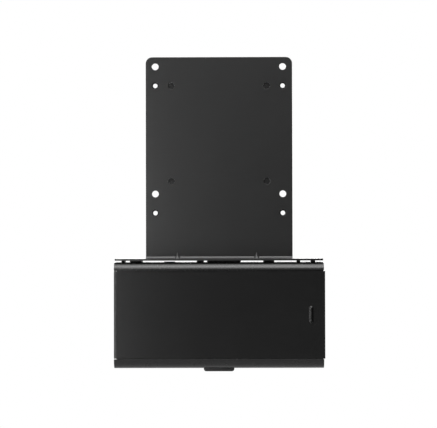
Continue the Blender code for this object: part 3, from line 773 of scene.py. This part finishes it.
def clinch_studs():
    """Studs with a shallow flush head in the plate and an M4 thread behind it."""
    for x, z in stud_places():
        node = "clinch_stud_" + place_name(x, z, 0)
        low, high = box_mm(node)
        bm = bmesh.new()
        head = (high.x - low.x) / 2
        profile = [(0, low.y), (head - 0.05, low.y), (head, low.y + 0.05)]
        profile += [(head, -0.1), (head - 0.1, -0.05), (0, -0.05)]
        spin(bm, profile, (x, z), "Y")
        add_thread(bm, (x, z), 1.6, 2.0, 0.7, -0.1, high.y)
        # The stud heads take a darker coat copy than the plate's: painted shade for their seats set back in
        # the plate.
        piece = finish_mesh(node.replace("clinch_stud", "flush_stud"), bm, [COAT_HALF_SHADED_COPY], 35)
        keep(piece, "bracket", "zinc_steel", node)


def add_thread(bm, centre, root, crest, pitch, low, high):
    """An external helical thread along Y, with a lead-in chamfer at its end."""
    around = 28
    per_turn = 8
    rows = round((high - low) / pitch * per_turn)
    rings = []
    for i in range(rows + 1):
        along = low + (high - low) * i / rows
        limit = crest - max(0.0, along - (high - 0.6)) / 0.6 * (crest - root)
        ring = []
        for k in range(around):
            turn = 2 * math.pi * k / around
            phase = (along / pitch - k / around) % 1.0
            flank = min(1.0, max(0.0, 1.35 - abs(phase - 0.5) * 3.2))
            radius = min(root + (crest - root) * flank, limit)
            spot = (centre[0] + radius * math.cos(turn), centre[1] + radius * math.sin(turn))
            ring.append(bm.verts.new(place_on("Y", along, spot)))
        rings.append(ring)
    for here, there in zip(rings, rings[1:]):
        for k in range(around):
            n = (k + 1) % around
            bm.faces.new((here[k], here[n], there[n], there[k]))
    for ring, along in ((rings[0], low), (rings[-1], high)):
        tip = bm.verts.new(place_on("Y", along, centre))
        for k in range(around):
            bm.faces.new((ring[k], ring[(k + 1) % around], tip))


# ---------------------------------------------------------------- tray and its fittings

def tray_profile():
    """From the upper lip's end, back over the top, down the rear and forward to the lower lip."""
    half = TRAY_SHEET / 2
    lip = LIP_RADIUS - half
    lower_lip = LOWER_LIP_RADIUS - half
    corner = REAR_RADIUS - half
    lean = math.radians(UPPER_LIP_LEAN)
    centre_z = TRAY_HIGH.z - LIP_RADIUS
    start_y = LIP_CENTRE_Y - lip * math.cos(lean) - UPPER_LIP_BEND * (1 - math.cos(lean))
    upright = centre_z + (lip - UPPER_LIP_BEND) * math.sin(lean) - UPPER_LIP_END
    depth = TRAY_HIGH.y - REAR_RADIUS - LIP_CENTRE_Y
    height = TRAY_HIGH.z - TRAY_LOW.z - 2 * REAR_RADIUS
    spread = (LOWER_LIP_EASE - LOWER_LIP_RADIUS) * math.sin(math.radians(LOWER_LIP_LEAN))
    ease_z = TRAY_LOW.z + LOWER_LIP_RADIUS + spread
    end_lean = math.degrees(math.asin((ease_z - LOWER_LIP_END) / LOWER_LIP_EASE))
    moves = [
        ("line", upright),
        ("bend", -UPPER_LIP_LEAN, UPPER_LIP_BEND),
        ("bend", UPPER_LIP_LEAN - 90, lip),
        ("line", depth),
        ("bend", -90, corner),
        ("line", height),
        ("bend", -90, corner),
        ("line", depth),
        ("bend", LOWER_LIP_LEAN - 90, lower_lip),
        ("bend", end_lean - LOWER_LIP_LEAN, LOWER_LIP_EASE - half),
    ]
    return Profile((start_y, UPPER_LIP_END), 90, moves)


def tray_outline(profile, half_width):
    """The flat tray with a tab at each end of its rear wall, between two relief slots."""
    rear_start, rear_length = profile.parts[REAR_RUN][:2]
    middle = rear_start + rear_length / 2
    bend_start = half_width - TRAY_SHEET / 2 - TAB_BEND
    tip = bend_start + TAB_BEND * math.pi / 2 + TAB_DEPTH - TRAY_SHEET / 2 - TAB_BEND
    low = middle - TAB_HALF_HEIGHT
    high = middle + TAB_HALF_HEIGHT
    root = bend_start - 0.4
    side = [
        (half_width, 0), (half_width, low - TAB_RELIEF), (root, low - TAB_RELIEF), (root, low),
        (tip, low), (tip, high), (root, high), (root, high + TAB_RELIEF),
        (half_width, high + TAB_RELIEF), (half_width, profile.length),
    ]
    radii = [0.6, 0.5, 0.5, 0.5, 3.0, 3.0, 0.5, 0.5, 0.5, 0.6]
    other = [(-x, s) for x, s in reversed(side)]
    return rounded_loop(side + other, radii + radii[::-1], 5), bend_start, (low - 0.2, high + 0.2)


def holder_tray():
    """The tray with its vents, window, rivet holes and folded end tabs."""
    profile = tray_profile()
    half_width = TRAY_HIGH.x
    outline, bend_start, tab_range = tray_outline(profile, half_width)
    holes = []
    rear_middle = profile.parts[REAR_RUN][0] + profile.parts[REAR_RUN][1] / 2
    for i in (-1, 0, 1):
        holes.append(slot((i * VENT_PITCH, rear_middle), VENT_WIDTH / 2, VENT_LENGTH / 2))
    top_start = profile.parts[TOP_RUN][0]
    top_front = profile.at(top_start)[0].x
    for _, x, y in rivet_places("shelf_rivet") + rivet_places("stop_rivet"):
        holes.append(circle((x, top_start + y - top_front), RIVET_HOLE / 2, 24))
    floor_start = profile.parts[FLOOR_RUN][0]
    floor_rear = profile.at(floor_start)[0].x
    for _, x, y in rivet_places("latch_rivet"):
        holes.append(circle((x, floor_start + floor_rear - y), RIVET_HOLE / 2, 24))
    holes.append(button_window(floor_start, floor_rear))
    bm = sheet_blank(outline, holes, TRAY_SHEET)
    for side in (-1, 1):
        fold_side(bm, bend_start, TAB_BEND, side, -1, tab_range)
    fold(bm, profile)
    piece = finish_mesh("brick_tray", bm, [COAT_HALF_SHADED_COPY])
    return keep(piece, "bracket", "black_paint", "holder_tray")


def button_window(floor_start, floor_rear):
    """The window in the tray's floor, a little larger than the button."""
    half = BUTTON_TAB_HALF + WINDOW_GAP
    rear = floor_start + floor_rear - (BUTTON_REAR + WINDOW_GAP)
    front = floor_start + floor_rear - (BUTTON_FRONT - WINDOW_GAP)
    corners = [(-half, rear), (half, rear), (half, front), (-half, front)]
    return rounded_loop(corners, 0.8, 5)


def spacers():
    """The packers between the shelf and the tray, each a small sheet with rounded edges."""
    for node in sorted(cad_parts):
        if not node.startswith("spacer_"):
            continue
        low, high = box_mm(node)
        corners = [(low.x, low.y), (high.x, low.y), (high.x, high.y), (low.x, high.y)]
        holes = []
        for _, x, y in rivet_places("shelf_rivet"):
            if low.x + 1.5 < x < high.x - 1.5:
                holes.append(circle((x, y), RIVET_HOLE / 2, 24))
        thickness = high.z - low.z
        bm = sheet_blank(rounded_loop(corners, 0.6, 4), holes, thickness, 0.2)
        stand(bm, "Z", (low.z + high.z) / 2)
        piece = finish_mesh(node.replace("spacer", "packer"), bm, [COAT_HALF_SHADED_COPY])
        keep(piece, "bracket", "black_paint", node)


def rivets():
    """Solid rivets with a low domed head and a slightly dished flush end."""
    for prefix in ("shelf_rivet", "stop_rivet", "latch_rivet"):
        for node, x, y in rivet_places(prefix):
            low, high = box_mm(node)
            head = (high.x - low.x) / 2
            crown = 0.8
            shank = 1.25
            dome = [(0, 0), (0.9, 0.04), (1.6, 0.2), (head - 0.1, 0.5), (head, 0.62), (head, crown)]
            flush = high.z - low.z
            profile = dome + [(shank, crown), (shank, flush - 0.15), (shank - 0.15, flush), (0, flush - 0.06)]
            upside = prefix == "latch_rivet"
            places = [(r, high.z - a if upside else low.z + a) for r, a in profile]
            bm = bmesh.new()
            spin(bm, places, (x, y), "Z", 28)
            piece = finish_mesh(node + "_domed", bm, [BLACK_ZINC], 35)
            keep(piece, "bracket", "zinc_steel", node)


def glide_strips():
    """The nylon guides, taken from their CAD section with softened edges."""
    for node in ("upper_glide_left", "upper_glide_right", "lower_glide_left", "lower_glide_right"):
        soften(node, node + "_strip", 0.15, [NYLON], "bracket", "black_nylon")


def soften(node, name, width, materials, body, slot_name):
    """A copy of a CAD node's mesh, cleaned into flat faces and given rounded edges."""
    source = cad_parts[node].data
    bm = bmesh.new()
    bm.from_mesh(source)
    bmesh.ops.remove_doubles(bm, verts=bm.verts, dist=2e-6)
    bmesh.ops.dissolve_limit(bm, angle_limit=math.radians(2), verts=bm.verts, edges=bm.edges)
    bmesh.ops.scale(bm, vec=(1 / MM,) * 3, verts=bm.verts)
    piece = finish_mesh(name, bm, materials, 35)
    bevel = piece.modifiers.new("soft_edges", "BEVEL")
    bevel.width = width * MM
    bevel.segments = 2
    bevel.limit_method = "ANGLE"
    bevel.angle_limit = math.radians(35)
    piece.modifiers.move(len(piece.modifiers) - 1, 0)
    return keep(piece, body, slot_name, node)


def latch_bridge():
    """The folded bridge that the button's spring pushes against."""
    half = BRIDGE_SHEET / 2
    bend = BRIDGE_BEND
    wall = BRIDGE_HALF_WIDTH - half
    foot = BRIDGE_LOW.z + half
    top = BRIDGE_HIGH.z - half
    reach = BRIDGE_HIGH.x
    rise = top - foot - 2 * bend
    moves = [
        ("line", reach - wall - bend),
        ("bend", 90, bend),
        ("line", rise),
        ("bend", -90, bend),
        ("line", 2 * (wall - bend)),
        ("bend", -90, bend),
        ("line", rise),
        ("bend", 90, bend),
        ("line", reach - wall - bend),
    ]
    profile = Profile((-reach, foot), 0, moves)
    front, rear = BRIDGE_LOW.y, BRIDGE_HIGH.y
    corners = [(front, 0), (rear, 0), (rear, profile.length), (front, profile.length)]
    holes = []
    for _, x, y in rivet_places("latch_rivet"):
        along = x + reach if x < 0 else profile.length - (reach - x)
        holes.append(circle((y, along), RIVET_HOLE / 2, 24))
    bm = sheet_blank(rounded_loop(corners, 1.2, 5), holes, BRIDGE_SHEET, 0.2)
    fold(bm, profile)
    for vert in bm.verts:
        vert.co = (vert.co.y, vert.co.x, vert.co.z)
    piece = finish_mesh("latch_bridge", bm, [BLACK_ZINC])
    return keep(piece, "bracket", "zinc_steel", "latch_bracket")


def travel_stop():
    """The folded tab that ends the cover's travel."""
    half = STOP_SHEET / 2
    bend = STOP_BEND
    top = STOP_HIGH.z - half
    low = STOP_LOW.z + half
    moves = [
        ("line", STOP_HIGH.y - STOP_WALL_Y - bend),
        ("bend", 90, bend),
        ("line", top - low - 2 * bend),
        ("bend", -90, bend),
        ("line", STOP_WALL_Y - bend - STOP_LOW.y),
    ]
    profile = Profile((STOP_HIGH.y, top), 180, moves)
    left, right = STOP_LOW.x, STOP_HIGH.x
    corners = [(left, 0), (right, 0), (right, profile.length), (left, profile.length)]
    holes = [circle((x, STOP_HIGH.y - y), RIVET_HOLE / 2, 24) for _, x, y in rivet_places("stop_rivet")]
    bm = sheet_blank(rounded_loop(corners, 1.0, 5), holes, STOP_SHEET, 0.2)
    fold(bm, profile)
    piece = finish_mesh("cover_travel_stop", bm, [BLACK_ZINC])
    return keep(piece, "bracket", "zinc_steel", "travel_stop")


def foam_pads():
    """Die-cut foam pads with a slightly swollen face."""
    for node in ("foam_pad_left", "foam_pad_right"):
        low, high = box_mm(node)
        corners = [(low.x, low.z), (high.x, low.z), (high.x, high.z), (low.x, high.z)]
        thickness = high.y - low.y
        bm = sheet_blank(rounded_loop(corners, 2.0, 6), [], thickness, 0.45)
        for axis, start, end in ((0, low.x, high.x), (1, low.z, high.z)):
            for i in range(1, 10):
                bisect(bm, start + (end - start) * i / 10, axis)
        middle = (low + high) / 2
        for vert in bm.verts:
            across = (vert.co.x - middle.x) / (high.x - low.x) * 2
            along = (vert.co.y - middle.z) / (high.z - low.z) * 2
            crown = (1 - across ** 4) * (1 - along ** 4)
            if vert.co.z < 0:
                vert.co.z += 0.18 * (1 - crown)
        stand(bm, "Y", middle.y)
        piece = finish_mesh(node + "_cut", bm, [FOAM])
        keep(piece, "bracket", "black_foam", node)


# ---------------------------------------------------------------- moving pieces

def cover_profile():
    """From the upper flange's edge, forward, down the face, back, and down the lower flange."""
    half = COVER_SHEET / 2
    flange = FLANGE_FACE + half
    face = COVER_FACE + half
    top = COVER_TOP - half
    bottom = COVER_BOTTOM + half
    step = flange - face - 2 * COVER_BEND
    moves = [
        ("line", COVER_HIGH.z - top - COVER_BEND),
        ("bend", -90, COVER_BEND),
        ("line", step),
        ("bend", 90, COVER_BEND),
        ("line", top - bottom - 2 * COVER_BEND),
        ("bend", 90, COVER_BEND),
        ("line", step),
        ("bend", -90, COVER_BEND),
        ("line", bottom - COVER_BEND - COVER_LOW.z),
    ]
    return Profile((flange, COVER_HIGH.z), -90, moves)


def sliding_cover():
    """The cover, with its stepped flanges, rounded left edge, latch slot and thumb rib."""
    profile = cover_profile()
    half = COVER_SHEET / 2
    face_start, face_length = profile.parts[FACE_RUN][:2]
    face_end = face_start + face_length
    radius = COVER_EDGE_RADIUS - half
    bend_start = -(COVER_LOW.x + half + radius)
    bend_end = bend_start + radius * math.pi / 2
    tip = -(bend_end + RETURN_LENGTH)
    trimmed = -(bend_end + 0.05)
    trim_at = face_start + COVER_TOP - half - COVER_BEND - RETURN_TRIM_TOP
    overrun = half + COVER_BEND - 0.1
    strip_end = FLANGE_LEFT - STRIP_SLIT
    top = face_start - overrun - STRIP_RAISE
    bottom = face_end + overrun
    right = COVER_HIGH.x
    corners = [
        (FLANGE_LEFT, 0), (FLANGE_RIGHT, 0), (FLANGE_RIGHT, top), (right, top), (right, bottom),
        (FLANGE_RIGHT, bottom), (FLANGE_RIGHT, profile.length), (FLANGE_LEFT, profile.length),
        (FLANGE_LEFT, face_end - 0.1), (strip_end, face_end - 0.1), (strip_end, bottom),
        (trimmed, bottom), (trimmed, trim_at), (tip, trim_at), (tip, top), (strip_end, top),
        (strip_end, face_start + 0.1), (FLANGE_LEFT, face_start + 0.1),
    ]
    radii = [0.6, 0.6, 0, 0.2, 0.2, 0, 0.6, 0.6, 0, 0, 0, 0.2, 0.3, 0.5, 0.2, 0, 0, 0]
    web_start = profile.parts[LOWER_WEB_RUN][0]
    web_face = profile.at(web_start)[0].x
    slot_rear = web_start + FLANGE_FACE - 0.2 - web_face
    slot_front = web_start + 0.1
    gap = STEM_HALF + 0.4
    latch = rounded_loop([(-gap, slot_front), (gap, slot_front), (gap, slot_rear), (-gap, slot_rear)], 0.3, 3)
    bm = sheet_blank(rounded_loop(corners, radii, 5), [latch], COVER_SHEET, 0.06)
    fold_side(bm, bend_start, radius, -1, 1, (top - 0.1, bottom + 0.1))
    fold(bm, profile, crisp=16, strip_end=strip_end + STRIP_SLIT / 3, strip_part=FACE_RUN)
    add_rib(bm)
    piece = finish_mesh("front_cover", bm, [COAT_SHADED_COPY])
    return keep(piece, "cover", "black_paint", "sliding_cover")


def add_rib(bm):
    """The raised thumb rib: a narrow crest with soft flanks and round ends."""
    rise = -(COVER_LOW.y - COVER_FACE)
    steps = 12
    reach = RIB_HEIGHT / 2 - RIB_WIDTH / 2
    rings = []
    levels = 12
    for i in range(levels + 1):
        share = i / levels
        lift = rise * (0.5 - 0.5 * math.cos(math.pi * share))
        radius = RIB_WIDTH / 2 * (1 - share * 0.78)
        outline = arc((RIB_X, RIB_Z + reach), radius, 0, 180, steps)
        outline += arc((RIB_X, RIB_Z - reach), radius, 180, 360, steps)
        rings.append([bm.verts.new((x, COVER_FACE + 0.03 - lift, z)) for x, z in outline])
    for here, there in zip(rings, rings[1:]):
        for i in range(len(here)):
            j = (i + 1) % len(here)
            bm.faces.new((here[i], here[j], there[j], there[i]))
    bm.faces.new(rings[-1])
    bm.faces.new(rings[0])


def release_button():
    """The moulded button: a rounded pad, a shoulder above the floor, a stem and a hook."""
    inset_x = BUTTON_TAB_HALF - BUTTON_CORNER
    low = BUTTON_LOW.z + BUTTON_CORNER
    outline = [(BUTTON_TAB_HALF, BUTTON_SHOULDER_TOP), (-BUTTON_TAB_HALF, BUTTON_SHOULDER_TOP)]
    outline += arc((-inset_x, low), BUTTON_CORNER, 180, 270, 8)
    outline += arc((inset_x, low), BUTTON_CORNER, 270, 360, 8)
    bm = sheet_blank(outline, [], BUTTON_REAR - BUTTON_FRONT, 0.5)
    stand(bm, "Y", (BUTTON_REAR + BUTTON_FRONT) / 2)
    front = BUTTON_FRONT + BUTTON_SHOULDER_EASE
    rear = BUTTON_REAR - BUTTON_SHOULDER_EASE
    shoulder = ((BUTTON_LOW.x, front, BUTTON_SHOULDER_LOW), (BUTTON_HIGH.x, rear, BUTTON_SHOULDER_TOP))
    stem_low = (-STEM_HALF, STEM_FRONT, BUTTON_SHOULDER_TOP - 0.5)
    stem_high = (STEM_HALF, STEM_REAR, BUTTON_HIGH.z)
    hook_low = (-STEM_HALF, BUTTON_LOW.y, HOOK_BOTTOM)
    hook_high = (STEM_HALF, HOOK_REAR, BUTTON_HIGH.z)
    add_block(bm, *shoulder, 0.2)
    add_block(bm, stem_low, stem_high, 0.25)
    add_block(bm, hook_low, hook_high, 0.4)
    piece = finish_mesh("push_button", bm, [NYLON], 45)
    return keep(piece, "button", "black_nylon", "release_button")


def add_block(bm, low, high, edge):
    """Adds a block with rounded edges and corners."""
    corners = [(low[0], low[1]), (high[0], low[1]), (high[0], high[1]), (low[0], high[1])]
    part = sheet_blank(rounded_loop(corners, edge, 3), [], high[2] - low[2], edge * 0.9)
    stand(part, "Z", (low[2] + high[2]) / 2)
    scratch = bpy.data.meshes.new("scratch")
    part.to_mesh(scratch)
    part.free()
    bm.from_mesh(scratch)
    bpy.data.meshes.remove(scratch)


def button_spring():
    """A compression spring with closed end coils, filling its box in the frame."""
    low, high = box_mm("button_spring")
    wire = 0.3
    radius = (high.x - low.x) / 2 - wire
    centre = (low + high) / 2
    turns = 6.5
    steps = round(turns * 24)
    sides = 10
    rings = []
    bm = bmesh.new()
    for i in range(steps + 1):
        share = i / steps
        turn = 2 * math.pi * turns * share
        eased = min(1.0, max(0.0, (share * turns - 0.9) / (turns - 1.8)))
        end_rise = wire * 2 * (min(share * turns, 0.9) + max(0.0, share * turns - turns + 0.9)) / 1.8
        travel = high.z - low.z - 4 * wire
        z = low.z + wire + end_rise + travel * eased
        middle = Vector((centre.x + radius * math.cos(turn), centre.y + radius * math.sin(turn), z))
        out = Vector((math.cos(turn), math.sin(turn), 0))
        ring = []
        for k in range(sides):
            a = 2 * math.pi * k / sides
            ring.append(bm.verts.new(middle + (out * math.cos(a) + Vector((0, 0, 1)) * math.sin(a)) * wire))
        rings.append(ring)
    for here, there in zip(rings, rings[1:]):
        for k in range(sides):
            n = (k + 1) % sides
            bm.faces.new((here[k], here[n], there[n], there[k]))
    bm.faces.new(rings[0])
    bm.faces.new(rings[-1])
    piece = finish_mesh("coil_spring", bm, [SPRING_WIRE], 60)
    keep(piece, "bracket", "spring_steel", "button_spring")
    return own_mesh(piece)


# ---------------------------------------------------------------- studio

CAMERA_PLACE = (0.0093, -1.2015, -0.0941)
CAMERA_PITCH = 0.8
CAMERA_YAW = 0.47
CAMERA_ROLL = -0.12
LENS = 126.05
SHIFT_Y = 0.0336
FLOOR_DROP = 0.9
FLOOR_RADIUS = 1.9
BAY_MIDDLE = (0.0, -0.04, -0.12)

# Brightness levels in watts per square metre, and each light's place, size and level
KEY = 40.0
HALF_KEY = 20.0
SOFT = 10.0
FILL = 1.0
LIGHTS = {
    "left_near_softbox": ((-0.22, -0.12, -0.17), (0.06, 0.3), HALF_KEY),
    "left_strip": ((-0.21, -0.50, -0.12), (0.05, 0.4), KEY),
    "left_high_softbox": ((-0.60, -0.50, 0.50), (0.5, 0.5), HALF_KEY),
    "top_strip": ((0.0, -0.30, 0.40), (0.8, 0.2), HALF_KEY),
    "top_softbox": ((0.0, -0.15, 0.95), (1.4, 0.5), SOFT),
    "high_softbox": ((0.0, -0.95, 0.75), (1.4, 0.4), SOFT),
    "back_softbox": ((0.3, 1.60, 0.50), (1.4, 1.0), HALF_KEY),
    "front_low_softbox": ((0.0, -1.80, -0.60), (1.6, 0.5), FILL),
    "low_strip": ((0.0, -0.45, -0.42), (0.9, 0.2), FILL / 2),
    "front_softbox": ((0.0, -2.40, -0.10), (2.4, 1.6), FILL / 2),
}


def area_light(name, place, target, size, brightness):
    """A soft light whose power is its brightness, in watts per square metre, times its area."""
    light = bpy.data.lights.new(name, "AREA")
    light.shape = "RECTANGLE"
    light.size, light.size_y = size
    light.energy = brightness * size[0] * size[1]
    obj = bpy.data.objects.new(name, light)
    obj.location = place
    obj.rotation_euler = (Vector(target) - Vector(place)).to_track_quat("-Z", "Y").to_euler()
    obj.visible_camera = False
    bpy.context.scene.collection.objects.link(obj)


def studio():
    """Soft lights, a backdrop that the camera sees as white and a faint glow from behind."""
    for name, (place, size, brightness) in LIGHTS.items():
        area_light(name, place, BAY_MIDDLE, size, brightness)
    world = bpy.data.worlds.new("studio_world")
    bpy.context.scene.world = world
    world.use_nodes = True
    nodes = world.node_tree.nodes
    links = world.node_tree.links
    background = nodes["Background"]
    source = nodes.new("ShaderNodeTexCoord")
    parts = nodes.new("ShaderNodeSeparateXYZ")
    links.new(source.outputs["Generated"], parts.inputs["Vector"])
    room = remap(nodes, links, parts.outputs["Y"], 0.0, 0.1, -0.15, 0.35)
    path = nodes.new("ShaderNodeLightPath")
    seen = nodes.new("ShaderNodeMath")
    seen.operation = "MAXIMUM"
    links.new(path.outputs["Is Camera Ray"], seen.inputs[0])
    links.new(room, seen.inputs[1])
    links.new(seen.outputs[0], background.inputs["Strength"])
    background.inputs["Color"].default_value = (1.0, 1.0, 1.0, 1.0)
    floor()
    bpy.context.scene.view_settings.view_transform = "Standard"
    bpy.context.scene.view_settings.look = "None"


def floor():
    """A round pale floor, well below the object."""
    bm = bmesh.new()
    bmesh.ops.create_circle(bm, cap_ends=True, radius=FLOOR_RADIUS, segments=96)
    mesh = bpy.data.meshes.new("studio_floor")
    bm.to_mesh(mesh)
    bm.free()
    made = bpy.data.objects.new("studio_floor", mesh)
    made.location = (0.0, 0.0, cad_low.z - FLOOR_DROP)
    bpy.context.scene.collection.objects.link(made)
    material, _, _, shader = new_material("pale_floor")
    shader.inputs["Base Color"].default_value = (0.86, 0.86, 0.86, 1.0)
    shader.inputs["Roughness"].default_value = 0.8
    shader.inputs["Emission Color"].default_value = (1.0, 1.0, 1.0, 1.0)
    shader.inputs["Emission Strength"].default_value = 0.05
    mesh.materials.append(material)


def camera():
    """In front of the bracket, level with its shelf and looking slightly up at the plate."""
    data = bpy.data.cameras.new("camera")
    data.lens = LENS
    data.sensor_width = 36.0
    data.shift_y = SHIFT_Y
    data.clip_end = 50.0
    obj = bpy.data.objects.new("camera", data)
    obj.location = CAMERA_PLACE
    aim = Euler([math.radians(a) for a in (90 + CAMERA_PITCH, 0.0, CAMERA_YAW)])
    roll = Matrix.Rotation(math.radians(CAMERA_ROLL), 3, "Z")
    obj.rotation_euler = (aim.to_matrix() @ roll).to_euler()
    bpy.context.scene.collection.objects.link(obj)
    bpy.context.scene.camera = obj


camera()
studio()
mounting_plate()
clinch_nuts()
clinch_studs()
holder_tray()
spacers()
rivets()
glide_strips()
latch_bridge()
travel_stop()
foam_pads()
sliding_cover()
release_button()
button_spring()
